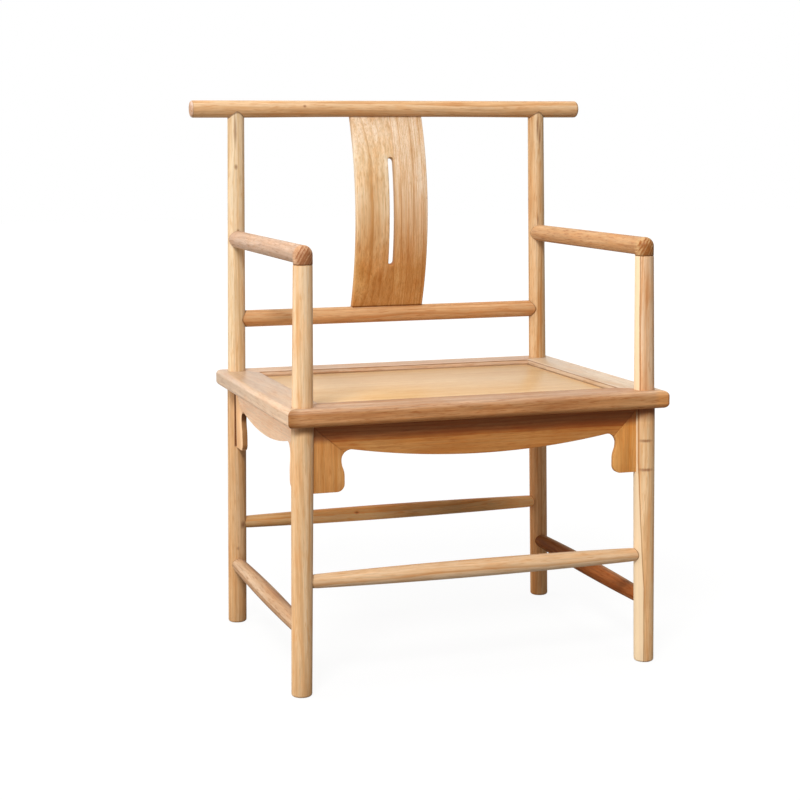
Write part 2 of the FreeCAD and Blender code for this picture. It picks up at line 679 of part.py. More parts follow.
end_half = axis_at("end_stretcher_height")
front_post, rear_post = "front_foot_diameter", "rear_leg_diameter"
make_stretcher("stretcher_front", ("0", "-post_spacing / 2", "end_stretcher_height"), 0,
               end_half, (front_post, front_post), "end_stretcher_tip", "front_stretcher_belly")
make_stretcher("stretcher_rear", ("0", "post_spacing / 2", "end_stretcher_height"), 0,
               end_half, (rear_post, rear_post), "end_stretcher_tip", "rear_stretcher_belly")
for side_word, side_sign in (("left", -1), ("right", 1)):
    side_place = (f"{side_sign} * {axis_at('side_stretcher_height')}", "0",
                  "side_stretcher_height")
    make_stretcher(f"stretcher_{side_word}", side_place, 90, "(post_spacing / 2)",
                   (front_post, rear_post), "side_stretcher_tip", "side_stretcher_belly")

doc.recompute()
for item in doc.Objects:
    if {"Invalid", "Error"} & set(item.State):
        raise RuntimeError(f"{item.Name} failed: {item.State}")
broken = [body.Label for body in bodies if body.Shape.isNull() or not body.Shape.isValid()
          or len(body.Shape.Solids) != 1]
if broken:
    raise RuntimeError(f"not one valid solid: {broken}")
for body in bodies:
    body.Shape.exportStep(f"parts/{body.Label}.step")
    print(body.Label, round(body.Shape.Volume), "cubic mm")
print(len(bodies), "pieces")
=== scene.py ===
import math

import bmesh
import bpy
from mathutils import Matrix, Vector


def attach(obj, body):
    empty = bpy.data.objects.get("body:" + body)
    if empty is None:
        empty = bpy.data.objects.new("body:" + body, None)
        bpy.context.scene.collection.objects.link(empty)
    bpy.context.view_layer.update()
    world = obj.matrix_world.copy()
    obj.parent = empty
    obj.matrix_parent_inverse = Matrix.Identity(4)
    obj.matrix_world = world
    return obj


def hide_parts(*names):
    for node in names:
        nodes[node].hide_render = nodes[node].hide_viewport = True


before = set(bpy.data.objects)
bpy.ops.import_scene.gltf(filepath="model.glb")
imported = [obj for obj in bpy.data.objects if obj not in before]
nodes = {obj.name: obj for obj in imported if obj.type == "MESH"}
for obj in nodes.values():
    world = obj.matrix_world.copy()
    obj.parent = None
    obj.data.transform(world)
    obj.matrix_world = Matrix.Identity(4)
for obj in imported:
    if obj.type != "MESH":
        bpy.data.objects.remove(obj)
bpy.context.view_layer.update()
scene = bpy.context.scene
print("frame loaded:", len(nodes), "nodes")


# a short way to write node trees; a colour is three numbers
class Nodes:
    def __init__(self, tree):
        self.tree = tree

    def add(self, kind, inputs=None, **settings):
        node = self.tree.nodes.new(kind)
        for key, value in settings.items():
            setattr(node, key, value)
        for key, value in (inputs or {}).items():
            socket = node.inputs[key]
            if isinstance(value, bpy.types.NodeSocket):
                self.tree.links.new(value, socket)
            else:
                socket.default_value = (*value, 1.0) if socket.type == "RGBA" else value
        return node

    def math(self, operation, a, b=0.0):
        return self.add("ShaderNodeMath", {0: a, 1: b}, operation=operation).outputs[0]

    def plus(self, a, b):
        return self.math("ADD", a, b)

    def minus(self, a, b):
        return self.math("SUBTRACT", a, b)

    def times(self, a, b):
        return self.math("MULTIPLY", a, b)

    def apart(self, a, b):
        return self.math("ABSOLUTE", self.minus(a, b))

    def sway(self, value, size):   # a noise about its middle
        return self.times(self.minus(value, 0.5), size)

    def vector(self, operation, a, b=(0.0, 0.0, 0.0)):
        return self.add("ShaderNodeVectorMath", {0: a, 1: b}, operation=operation).outputs[0]

    def dot(self, a, b):
        return self.add("ShaderNodeVectorMath", {0: a, 1: b},
                        operation="DOT_PRODUCT").outputs["Value"]

    def length(self, a):
        return self.add("ShaderNodeVectorMath", {0: a}, operation="LENGTH").outputs["Value"]

    def part(self, a, axis):
        return self.add("ShaderNodeSeparateXYZ", {0: a}).outputs[axis]

    def noise(self, place, stretch, scale, detail, rough=0.5, depth=1.0):
        drawn = self.vector("MULTIPLY", place, (1.0, depth, stretch))
        return self.add("ShaderNodeTexNoise", {"Vector": drawn, "Scale": scale,
                        "Detail": detail, "Roughness": rough}).outputs

    def mix(self, share, a, b, blend="MIX"):
        return self.add("ShaderNodeMix", {0: share, 6: a, 7: b}, data_type="RGBA",
                        blend_type=blend).outputs[2]

    def tinted(self, colour, tint):
        return self.mix(1.0, colour, tint, "MULTIPLY")

    def tint(self, share, colour, tint):
        return self.mix(share, colour, self.tinted(colour, tint))

    def span(self, value, low, high, toLow=0.0, toHigh=1.0):
        return self.add("ShaderNodeMapRange", {0: value, 1: low, 2: high, 3: toLow, 4: toHigh},
                        clamp=True).outputs[0]

    def ramp(self, value, stops):   # stops are (position, colour), in rising order
        node = self.add("ShaderNodeValToRGB", {"Fac": value})
        points = node.color_ramp.elements
        for number, (position, colour) in enumerate(stops):
            point = points[number] if number < 2 else points.new(1.0)
            point.position = position
            point.color = (*colour, 1.0)
        return node.outputs["Color"]


def freshNodes(owner):
    owner.use_nodes = True
    owner.node_tree.nodes.clear()
    return Nodes(owner.node_tree)


def newObject(name, data):
    thing = bpy.data.objects.new(name, data)
    scene.collection.objects.link(thing)
    return thing


# camera and light, from the photograph's own viewpoint
view = {
    "place": (-0.9074, -2.6379, 0.8151),
    "yaw": 17.93, "pitch": 8.49, "roll": -0.26,   # degrees, yaw towards +X and pitch down
    "lens": 78.67, "sensor": 36.0, "farEnd": 100.0,
}


def aimCamera():
    yaw, pitch, roll = (math.radians(view[key]) for key in ("yaw", "pitch", "roll"))
    forward = Vector((math.sin(yaw) * math.cos(pitch), math.cos(yaw) * math.cos(pitch),
                      -math.sin(pitch)))
    level = Vector((math.cos(yaw), -math.sin(yaw), 0.0))
    rise = level.cross(forward)
    right = level * math.cos(roll) + rise * math.sin(roll)
    up = rise * math.cos(roll) - level * math.sin(roll)
    turn = Matrix((right, up, -forward)).transposed().to_4x4()
    data = bpy.data.cameras.new("camera")
    data.lens = view["lens"]
    data.sensor_width = view["sensor"]
    data.sensor_fit = "HORIZONTAL"
    data.clip_end = view["farEnd"]
    camera = newObject("camera", data)
    camera.matrix_world = Matrix.Translation(view["place"]) @ turn
    scene.camera = camera


studio = {
    "floorSize": 30.0, "floorColour": (0.30, 0.30, 0.30), "floorShare": 0.72,
    "whiteReach": (0.7, 3.5, 1.27, 1.40),   # distances from the chair, then the glow at each
    "skyColour": (1.0, 0.985, 0.965), "white": (1.0, 1.0, 1.0),
    # parts of the room's direction vector, from where to where each light grows
    "ceiling": (-0.2, 0.9, 0.03, 0.36), "behind": (0.1, 0.95), "horizon": (-0.1, 0.05),
    "leftSide": (-0.15, -0.95), "backdropGlow": 0.75, "leftGlow": 1.05,
    "lampAim": (0.0, 0.0, 0.4),
    "lamps": {   # place, size in metres, power in watts
        "keyLamp": ((-2.0, -3.3, 3.5), 1.2, 180.0),
        "topLamp": ((0.2, -0.1, 3.2), 2.2, 28.0),
        "lowLamp": ((-2.6, 0.9, 0.45), 1.0, 16.0),
    },
}


def placeLamps():
    for name, (place, size, power) in studio["lamps"].items():
        data = bpy.data.lights.new(name, "AREA")
        data.shape = "SQUARE"
        data.size = size
        data.energy = power
        data.color = studio["skyColour"]
        lamp = newObject(name, data)
        lamp.location = place
        aim = Vector(studio["lampAim"]) - Vector(place)
        lamp.rotation_euler = aim.to_track_quat("-Z", "Y").to_euler()


def paintRoom():
    world = bpy.data.worlds.new("softRoom")
    scene.world = world
    make = freshNodes(world)
    toward = make.add("ShaderNodeTexCoord").outputs["Generated"]
    height = make.part(toward, "Z")
    ceiling = make.span(height, *studio["ceiling"])
    behind = make.times(make.span(make.part(toward, "Y"), *studio["behind"]),
                        make.span(height, *studio["horizon"]))
    leftSide = make.span(make.part(toward, "X"), *studio["leftSide"])
    walls = make.plus(make.times(behind, studio["backdropGlow"]),
                      make.times(leftSide, studio["leftGlow"]))
    room = make.add("ShaderNodeBackground", {"Color": studio["skyColour"],
                    "Strength": make.plus(ceiling, walls)})
    white = make.add("ShaderNodeBackground", {"Color": studio["white"], "Strength": 1.0})
    seen = make.add("ShaderNodeLightPath").outputs["Is Camera Ray"]
    mix = make.add("ShaderNodeMixShader", {0: seen, 1: room.outputs[0], 2: white.outputs[0]})
    make.add("ShaderNodeOutputWorld", {"Surface": mix.outputs[0]})


def layFloor():
    half = studio["floorSize"] / 2
    mesh = bpy.data.meshes.new("floor")
    mesh.from_pydata([(-half, -half, 0), (half, -half, 0), (half, half, 0), (-half, half, 0)],
                     [], [(0, 1, 2, 3)])
    floor = newObject("floor", mesh)
    paint = bpy.data.materials.new("paleFloor")
    make = freshNodes(paint)
    matt = make.add("ShaderNodeBsdfDiffuse", {"Color": studio["floorColour"]})
    away = make.length(make.add("ShaderNodeTexCoord").outputs["Object"])
    glow = make.add("ShaderNodeEmission", {"Strength": make.span(away, *studio["whiteReach"])})
    seen = make.add("ShaderNodeLightPath").outputs["Is Camera Ray"]
    share = make.times(seen, studio["floorShare"])   # white to the camera only
    mix = make.add("ShaderNodeMixShader", {0: share, 1: matt.outputs[0], 2: glow.outputs[0]})
    make.add("ShaderNodeOutputMaterial", {"Surface": mix.outputs[0]})
    mesh.materials.append(paint)


aimCamera()
placeLamps()
paintRoom()
layFloor()
scene.view_settings.view_transform = "Standard"
print("camera, lamps and floor ready")

# wood: growth rings about a pith line, fibres, pores and slow changes of tone, all solid 3-D
woodTones = {
    # the middle tone of each piece, as lit by the level room; the side front spandrels' and the
    # rear stretcher's tones also hold painted shade and light
    "rear_post_left": (0.704, 0.511, 0.304), "rear_post_right": (0.627, 0.402, 0.209),
    "front_post_left": (0.749, 0.507, 0.29), "front_post_right": (0.707, 0.447, 0.256),
    "crest_rail": (0.621, 0.373, 0.184), "back_rail": (0.597, 0.329, 0.15),
    "arm_left": (0.539, 0.35, 0.233), "arm_right": (0.526, 0.282, 0.121),
    "splat": (0.593, 0.381, 0.193), "seat_rail_front": (0.48, 0.237, 0.104),
    "seat_rail_left": (0.63, 0.427, 0.272), "seat_rail_right": (0.593, 0.44, 0.296),
    "seat_rail_rear": (0.64, 0.428, 0.277), "seat_panel": (0.654, 0.415, 0.19),
    "apron_front": (0.493, 0.182, 0.038), "apron_left": (0.86, 0.56, 0.352),
    "apron_right": (0.738, 0.344, 0.128), "apron_rear": (0.48, 0.25, 0.10),
    "spandrel_front_left": (0.56, 0.23, 0.057), "spandrel_front_right": (0.668, 0.277, 0.062),
    # the side front spandrels' tone is a darker copy of the spandrel tone: painted shade for
    # where they stand by the front legs, under the rail
    "spandrel_side_front": (0.84, 0.38, 0.16), "spandrel": (0.86, 0.53, 0.28),
    # the rear stretcher's tone is lifted: painted light against the dark under the seat
    "stretcher_front": (0.714, 0.455, 0.251), "stretcher_rear": (0.86, 0.459, 0.174),
    "stretcher_left": (0.494, 0.295, 0.156), "stretcher_right": (0.5, 0.28, 0.13),
    "seat_batten": (0.56, 0.35, 0.18),
}
turnToGrain = {"X": (0.0, -math.pi / 2, 0.0), "Y": (math.pi / 2, 0.0, 0.0),
               "Z": (0.0, 0.0, 0.0)}
woodBlush = (0.97, 0.83, 0.68)   # the redder patches
seamColour = (0.16, 0.07, 0.025)   # the shadow in a joint
woodDefaults = {
    "pith": (0.035, 0.022), "start": 0.0,
    "ringGap": 0.006, "ringDepth": 0.45, "ringTone": 0.35, "lateStart": 0.45,
    "fibre": 0.34, "pores": 0.35, "dash": 0.65, "drift": 0.35, "streak": 1.0, "blush": 0.6,
    "lightPower": 0.76, "darkPower": 1.55, "base": 0.30, "endShade": 0.30, "endRings": 0.5,
    "rough": (0.44, 0.60), "gloss": 0.25,
}
woodNoises = {
    # each is (stretch along the grain, scale, detail, roughness)
    "wander": (0.22, 9.0, 2.0, 0.5), "fibre": (0.035, 430.0, 3.0, 0.6),
    "dash": (0.10, 420.0, 2.0, 0.55), "streak": (0.03, 120.0, 3.0, 0.5),
    "pore": (0.07, 800.0, 1.0, 0.5), "patch": (0.2, 24.0, 2.0, 0.5),
    "blush": (0.3, 42.0, 3.0, 0.6),
}
noiseSpans = {   # the part of each noise that shows
    "dash": (0.55, 0.70), "pore": (0.60, 0.72), "patch": (0.3, 0.7), "blush": (0.50, 0.64),
}
knots = {
    # knots and streaks: (place on the surface, half width, half length along the grain, depth)
    "rear_post_left": [((-0.2700, 0.2020, 0.7709), 0.0032, 0.005, 0.8),
                       ((-0.2702, 0.2022, 0.8300), 0.0026, 0.032, 0.75),
                       ((-0.2687, 0.2020, 0.6660), 0.0026, 0.004, 0.8),
                       ((-0.2674, 0.2040, 0.2880), 0.0030, 0.003, 0.8),
                       ((-0.2690, 0.2015, 0.1700), 0.0050, 0.007, 0.8),
                       ((-0.2790, 0.2020, 0.1300), 0.0030, 0.004, 0.8)],
    "rear_post_right": [((0.2638, 0.2020, 0.8350), 0.0022, 0.024, 0.75),
                        ((0.2680, 0.2020, 0.8180), 0.0022, 0.022, 0.75),
                        ((0.2660, 0.2015, 0.6740), 0.0018, 0.012, 0.80),
                        ((0.2588, 0.2049, 0.6560), 0.0018, 0.008, 0.70)],
    "front_post_right": [((0.2690, -0.2310, 0.3537), 0.0125, 0.0028, 0.8),
                         ((0.2700, -0.2310, 0.3082), 0.0125, 0.0030, 0.8),
                         ((0.2813, -0.2240, 0.5649), 0.0030, 0.004, 0.8)],
    "crest_rail": [((-0.1516, 0.2020, 0.8699), 0.003, 0.0035, 0.8)],
    "back_rail": [((-0.2361, 0.2020, 0.5306), 0.0018, 0.003, 0.8),
                  ((-0.2275, 0.2020, 0.5313), 0.0018, 0.003, 0.8)],
    "splat": [((-0.0660, 0.1780, 0.632), 0.0035, 0.024, 0.35),
              ((0.0540, 0.1785, 0.716), 0.0024, 0.003, 0.8),
              ((0.0545, 0.1785, 0.620), 0.0026, 0.004, 0.8)],
    "stretcher_rear": [((-0.0672, 0.2045, 0.1760), 0.0035, 0.005, 0.8)],
}


def makeWood(name, tone, grain, centre, changes):
    mid = woodTones[tone]
    how = {**woodDefaults, **changes}
    light, dark = (tuple(channel ** how[power] for channel in mid)
                   for power in ("lightPower", "darkPower"))
    material = bpy.data.materials.new(name)
    material.diffuse_color = (*mid, 1.0)
    make = freshNodes(material)
    place = make.add("ShaderNodeTexCoord").outputs["Object"]
    spot = make.vector("SUBTRACT", place, centre)
    seam = None
    if "joint" in how:   # a board glued up from two: the second one is cut elsewhere
        across = make.part(spot, "X")
        seam = make.span(make.apart(across, how["joint"]), 0.0007, 0.0002)
        second = make.add("ShaderNodeVectorMath", {0: spot, 1: how["jointScale"],
                          2: how["jointShift"]}, operation="MULTIPLY_ADD").outputs[0]
        past = make.math("GREATER_THAN", across, how["joint"])
        spot = make.add("ShaderNodeMix", {0: past, 4: spot, 5: second},
                        data_type="VECTOR").outputs[1]
    turned = make.add("ShaderNodeMapping", {"Vector": spot, "Rotation": turnToGrain[grain],
                      "Location": (*how["pith"], how["start"])}).outputs[0]

    # the heart of the trunk wanders slowly along the piece
    wander = make.noise(turned, *woodNoises["wander"])["Color"]
    shift = make.vector("MULTIPLY", make.vector("SUBTRACT", wander, (0.5, 0.5, 0.5)),
                        (0.022, 0.022, 0.0))
    bent = make.vector("ADD", turned, shift)
    fibre, streak = (make.noise(bent, *woodNoises[key])["Fac"] for key in ("fibre", "streak"))
    dash, pore, patch, blush = (
        make.span(make.noise(bent, *woodNoises[key])["Fac"], *noiseSpans[key])
        for key in ("dash", "pore", "patch", "blush"))

    # growth rings: each builds slowly to its own depth of late wood, then drops back
    out = make.length(make.vector("MULTIPLY", bent, (1.0, 1.0, 0.0)))
    ragged = make.plus(out, make.sway(streak, how["ringGap"] * 0.9))
    count = make.math("DIVIDE", ragged, how["ringGap"])
    grown = make.math("FRACT", count)
    own = make.add("ShaderNodeTexWhiteNoise", {"W": make.math("FLOOR", count)},
                   noise_dimensions="1D").outputs["Value"]
    rise = make.times(make.span(grown, how["lateStart"], 0.93), make.span(grown, 1.0, 0.95))
    ring = make.times(rise, make.plus(make.times(own, 0.7), 0.3))

    # end grain drinks more: it is darker, and its rings are deeper
    normal = make.add("ShaderNodeNewGeometry").outputs["Normal"]
    facing = make.dot(normal, tuple(float(axis == grain) for axis in "XYZ"))
    endShare = make.span(make.math("ABSOLUTE", facing), 0.35, 0.9)
    ringDepth = make.plus(how["ringDepth"], make.times(endShare, how["endRings"]))

    # depth of tone, then colour
    depth = make.plus(how["base"], make.times(ring, ringDepth))
    for value, share in ((own, how["ringTone"]), (patch, how["drift"]), (streak, how["streak"])):
        depth = make.plus(depth, make.sway(value, share))
    depth = make.plus(depth, make.times(endShare, how["endShade"]))
    colour = make.ramp(depth, ((0.0, light), (0.45, mid), (1.0, dark)))
    shade = make.span(fibre, 0.25, 0.75, 1.0 - how["fibre"] * 0.5, 1.0 + how["fibre"] * 0.4)
    colour = make.tinted(colour, make.add("ShaderNodeCombineColor", {
        0: shade, 1: shade, 2: shade}).outputs[0])
    for flaw, share in ((dash, how["dash"]), (pore, how["pores"])):
        colour = make.mix(make.times(flaw, share), colour, dark)
    colour = make.tint(make.times(blush, how["blush"]), colour, woodBlush)
    if seam is not None:
        colour = make.mix(make.times(seam, 0.55), colour, dark)
    for mark, wide, long, strength in knots.get(tone, ()):
        size = tuple(long if axis == grain else wide for axis in "XYZ")
        away = make.vector("SUBTRACT", place, mark)
        reach = make.length(make.vector("DIVIDE", away, size))
        spread = make.plus(reach, make.minus(fibre, 0.5))
        colour = make.mix(make.span(spread, 1.15, 0.25, 0.0, strength), colour,
                          (dark[0] * 0.45, dark[1] * 0.35, dark[2] * 0.35))
    # the piece's own tone by place, and its painted light and shade
    if "finish" in how:
        colour = how["finish"](make, place, colour)

    grainHeight = make.minus(make.times(fibre, 0.6), make.times(pore, 0.8))
    bump = make.add("ShaderNodeBump", {"Strength": 0.14, "Distance": 0.0004,
                    "Height": grainHeight})
    rough = make.span(make.minus(fibre, make.times(ring, 0.2)), 0.1, 0.8, *how["rough"])
    surface = make.add("ShaderNodeBsdfPrincipled", {
        "Base Color": colour, "Roughness": rough, "Normal": bump.outputs[0],
        "Specular IOR Level": how["gloss"], "IOR": 1.45})
    make.add("ShaderNodeOutputMaterial", {"Surface": surface.outputs[0]})
    return material


# colour by place: each changes a wood's colour by where it lies, and is passed to makeWood; some
# give the wood's own tone, many are painted light and shade
plainTint = (1.0, 1.0, 1.0)
sideBlend = 0.006   # half the width over which the two sides of a piece blend
rippleNoise = (0.3, 30.0, 2.0)
seams = {
    # dark lines at joints: how far off they begin and are full, and how dark they get
    "saddle": (0.0022, 0.0009, 0.75), "post": (0.0024, 0.0010, 0.6),
    "elbow": (0.0020, 0.0010, 0.6), "crestEnd": (0.0012, 0.0004, 0.35),
}


def seamShare(make, reach, start, kind):
    first, full, depth = seams[kind]
    return make.span(reach, start + first, start + full, 0.0, depth)


def plain(make, place, colour):
    return colour


def evenTint(tint):
    return lambda make, place, colour: make.tinted(colour, tint)


def layered(*layers):
    def finish(make, place, colour):
        for layer in layers:
            colour = layer(make, place, colour)
        return colour
    return finish


def onSides(axis, edge, below, above):
    # one finish on each side of a plane across an axis
    def finish(make, place, colour):
        share = make.span(make.part(place, axis), edge - sideBlend, edge + sideBlend)
        return make.mix(share, below(make, place, colour), above(make, place, colour))
    return finish


def tintRise(low, high, below, above, ripple=0.0):
    # passes from one tint to another with height, on a wavy line
    def finish(make, place, colour):
        level = make.part(place, "Z")
        if ripple:
            level = make.plus(level, make.sway(make.noise(place, *rippleNoise)["Fac"], ripple))
        return make.mix(make.span(level, low, high), make.tinted(colour, below),
                        make.tinted(colour, above))
    return finish


# pieces: how each takes its place from the CAD node that it stands for
sides = ((-1, "left"), (1, "right"))


def placePiece(mesh, nodeName, slot, material, smoothAngle=40.0):
    for face in mesh.polygons:
        face.use_smooth = True
    limit = math.cos(math.radians(smoothAngle))
    build = bmesh.new()
    build.from_mesh(mesh)
    for edge in build.edges:
        if len(edge.link_faces) == 2:
            edge.smooth = edge.link_faces[0].normal.dot(edge.link_faces[1].normal) > limit
    build.to_mesh(mesh)
    build.free()
    piece = newObject(nodeName + "_dressed", mesh)
    mesh.materials.clear()
    mesh.materials.append(material)
    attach(piece, "root")
    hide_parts(nodeName)


def freeze(thing):
    # the finished mesh of a helper object, which is then removed
    mesh = bpy.data.meshes.new_from_object(
        thing.evaluated_get(bpy.context.evaluated_depsgraph_get()))
    bpy.data.objects.remove(thing)
    return mesh


def lathe(name, stations, centreAt, across, along, trims=None):
    # stations are (distance, radius) along the bar; trims reshape rings, by their number
    segments = 56
    verts, faces = [], []
    other = along.cross(across)
    reshape = {number % len(stations): trim for number, trim in (trims or {}).items()}
    for number, (distance, radius) in enumerate(stations):
        for step in range(segments):
            angle = 2 * math.pi * step / segments
            spot = (centreAt(distance) + across * (radius * math.cos(angle))
                    + other * (radius * math.sin(angle)))
            verts.append(reshape[number](spot) if number in reshape else spot)
    for ring in range(len(stations) - 1):
        for step in range(segments):
            a = ring * segments + step
            b = ring * segments + (step + 1) % segments
            faces.append((a, b, b + segments, a + segments))
    for ring, turn in ((0, -1), (len(stations) - 1, 1)):
        middle = sum((verts[ring * segments + step] for step in range(segments)),
                     Vector()) / segments
        verts.append(middle)
        for step in range(segments):
            a = ring * segments + step
            b = ring * segments + (step + 1) % segments
            faces.append((a, b, len(verts) - 1)[::turn])
    mesh = bpy.data.meshes.new(name)
    mesh.from_pydata(verts, [], faces)
    mesh.validate()
    return mesh


def quarterRound(radius, ease, steps):
    # the rings of an eased end, from its face inward
    angles = (math.pi / 2 * step / steps for step in range(steps + 1))
    return [(ease * (1 - math.cos(angle)), radius - ease + ease * math.sin(angle))
            for angle in angles]


def dressBoard(nodeName, width):
    # a cleaned copy of the CAD board with its sharp edges eased
    mesh = nodes[nodeName].data.copy()
    build = bmesh.new()
    build.from_mesh(mesh)
    bmesh.ops.remove_doubles(build, verts=build.verts, dist=1e-6)
    bmesh.ops.dissolve_limit(build, angle_limit=math.radians(1.0), verts=build.verts,
                             edges=build.edges)
    build.to_mesh(mesh)
    build.free()
    rough = newObject(nodeName + "_rough", mesh)
    ease = rough.modifiers.new("ease", "BEVEL")
    ease.width = width
    ease.segments = 2
    ease.limit_method = "ANGLE"
    ease.angle_limit = math.radians(35.0)
    ease.harden_normals = False
    return freeze(rough)


stance = {
    "footSpacing": 0.557, "splay": 0.015, "rowY": 0.2155, "seatUnder": 0.405,
    "armZ": 0.652, "backRailZ": 0.519, "crestZ": 0.865,   # axes of the bars above the seat
}


def postCentre(side, row):
    def at(height):
        across = stance["footSpacing"] / 2 - stance["splay"] * height
        return Vector((side * across, row * stance["rowY"], height))
    return at


# posts
postSizes = {
    # radii at the floor and under the seat, then in the seat and at the top
    "rearLeg": (0.0154, 0.0155), "rearStem": (0.0147, 0.0137),
    "frontLeg": (0.0155, 0.0165), "frontStem": (0.0158, 0.0143),
    "footEase": 0.0038, "shoulderDrop": 0.0003, "crestGap": 0.0002, "elbowGap": 0.0002,
    "crestRadius": 0.014, "elbowRadius": 0.0143, "jointEase": 0.0007, "rearTop": 0.849,
}


def postRings(leg, stem, top, ease):
    under = stance["seatUnder"] - postSizes["shoulderDrop"]
    shares = [step / 12 for step in range(1, 13)]
    rings = quarterRound(leg[0], postSizes["footEase"], 4)
    rings += [(under * share, leg[0] + (leg[1] - leg[0]) * share) for share in shares]
    rings.append((under, stem[0]))
    rings += [(under + (top - ease - under) * share, stem[0] + (stem[1] - stem[0]) * share)
              for share in shares]
    if ease:
        rings.append((top, stem[1] - ease))
    return rings


def saddle(spot):
    reach = postSizes["crestRadius"] + postSizes["crestGap"]
    drop = math.sqrt(max(reach ** 2 - (spot.y - stance["rowY"]) ** 2, 0.0))
    return Vector((spot.x, spot.y, stance["crestZ"] - drop))


sapwood = {
    # a pale outer layer shows as a band down one side of the right front post
    "across": (0.9, -0.437), "noise": (0.16, 60.0, 2.0), "wave": 0.003,
    "fade": (0.0003, -0.0004), "lineAt": 0.0008, "line": (0.0011, 0.0, 0.0, 0.75),
    "legEdge": (0.12, 0.32, -0.0003, -0.0095),    # heights, then the edge at each
    "stemStep": (0.41, 0.43, 0.0, 0.0027),
    "colour": (0.93, 0.76, 0.52), "lineColour": (0.30, 0.12, 0.035),
}
gapShadowSizes = {
    # a painted shadow: a dark slit on the rear left post, beside the spandrel
    "offset": -0.0053, "half": 0.0016, "low": 0.307, "colour": (0.15, 0.055, 0.016),
}


def paleBand(make, place, colour):
    x, y = sapwood["across"]
    middle = postCentre(1, -1)(0.0).dot(Vector((x, y, 0.0)))
    fromAxis = make.minus(make.dot(place, (x, y, x * stance["splay"])), middle)
    ripple = make.sway(make.noise(place, *sapwood["noise"])["Fac"], sapwood["wave"])
    height = make.part(place, "Z")
    limit = make.plus(make.span(height, *sapwood["legEdge"]),
                      make.span(height, *sapwood["stemStep"]))
    edge = make.minus(make.plus(fromAxis, ripple), limit)
    pale = make.mix(0.25, sapwood["colour"], colour, "MULTIPLY")
    colour = make.mix(make.span(edge, *sapwood["fade"]), colour, pale)
    line = make.span(make.apart(edge, sapwood["lineAt"]), *sapwood["line"])
    return make.mix(line, colour, sapwood["lineColour"])


# painted shadow: a dark slit down the rear left post beside its spandrel
def gapShadow(make, place, colour):
    fromAxis = make.plus(make.dot(place, (1.0, 0.0, -stance["splay"])),
                         stance["footSpacing"] / 2 - gapShadowSizes["offset"])
    height = make.part(place, "Z")
    share = make.span(make.math("ABSOLUTE", fromAxis), gapShadowSizes["half"] * 1.5,
                      gapShadowSizes["half"])
    for limit in (make.math("LESS_THAN", make.part(place, "Y"), stance["rowY"]),
                  make.span(height, gapShadowSizes["low"] - 0.003, gapShadowSizes["low"]),
                  make.math("LESS_THAN", height, stance["seatUnder"] + 0.01)):
        share = make.times(share, limit)
    return make.mix(share, colour, gapShadowSizes["colour"])


def crestShadow(make, place, colour):
    # a dark line where the post's saddle meets the crest rail
    away = make.vector("SUBTRACT", place, (0.0, stance["rowY"], stance["crestZ"]))
    reach = make.length(make.vector("MULTIPLY", away, (0.0, 1.0, 1.0)))
    share = seamShare(make, reach, postSizes["crestRadius"], "saddle")
    return make.mix(share, colour, seamColour)


def underRail(low, tint):
    # the shade that the front rail throws on the top of a leg
    def finish(make, place, colour):
        height = make.part(place, "Z")
        share = make.times(make.span(height, low, stance["seatUnder"] - 0.006),
                           make.math("LESS_THAN", height, stance["seatUnder"] + 0.015))
        return make.tint(share, colour, tint)
    return finish


def legTint(tint):
    # below the seat each post takes a tint of its own, browner on most
    return tintRise(0.40, 0.43, tint, plainTint)


postTonesAndLight = {
    "rear_post_left": layered(legTint((0.87, 0.72, 0.59)), gapShadow, crestShadow),
    "rear_post_right": layered(legTint((1.10, 0.89, 0.71)), crestShadow),
    "front_post_left": layered(legTint((0.94, 0.89, 0.82)),
                               underRail(0.391, (0.60, 0.50, 0.42))),
    "front_post_right": layered(legTint((1.10, 1.09, 0.97)), paleBand,
                                underRail(0.382, (0.34, 0.20, 0.12))),
}


def makePosts():
    elbowFoot = stance["armZ"] - postSizes["elbowRadius"] - postSizes["elbowGap"]
    for side, word in sides:
        for row, end, top, ease, trims, middle, pith, start in (
                (1, "rear", postSizes["rearTop"], 0.0, {-1: saddle}, 0.4,
                 (0.026 * side, 0.018), 1.3 + side),
                (-1, "front", elbowFoot, postSizes["jointEase"], None, 0.3,
                 (0.02 * side, -0.03), 2.7 + side)):
            nodeName = f"{end}_post_{word}"
            rings = postRings(postSizes[end + "Leg"], postSizes[end + "Stem"], top, ease)
            mesh = lathe(f"{end}Post_{word}", rings, postCentre(side, row),
                         Vector((1, 0, 0)), Vector((0, 0, 1)), trims)
            centre = (side * stance["footSpacing"] / 2, row * stance["rowY"], middle)
            placePiece(mesh, nodeName, "post_wood", makeWood(
                f"postWood{end.title()}_{word}", nodeName, "Z", centre,
                {"pith": pith, "start": start, "streak": 1.9,
                 "finish": postTonesAndLight[nodeName]}))


# round bars above the seat
barSizes = {
    "crestRadius": 0.014, "crestHalf": 0.342, "crestEase": 0.005, "crestEndLine": 0.0035,
    "crestWaist": 0.0006, "waistShare": 0.72,   # how much slimmer, over what share of a half
    "backRadius": 0.014, "armRadius": 0.014, "jointGap": 0.0002, "endEase": 0.0007,
    "backReach": 0.0147, "armReach": 0.0144,   # the posts' radii where the bars meet them
    "barInset": 0.022,
}


def scribe(side, row, axis, radius):
    # a bar along an axis meets a post: its end follows the post's round
    def trim(spot):
        centre = postCentre(side, row)(spot.z)
        if axis == "X":
            reach = math.sqrt(max(radius ** 2 - (spot.y - centre.y) ** 2, 0.0))
            return Vector((centre.x - side * reach, spot.y, spot.z))
        reach = math.sqrt(max(radius ** 2 - (spot.x - centre.x) ** 2, 0.0))
        return Vector((spot.x, centre.y - row * reach, spot.z))
    return trim


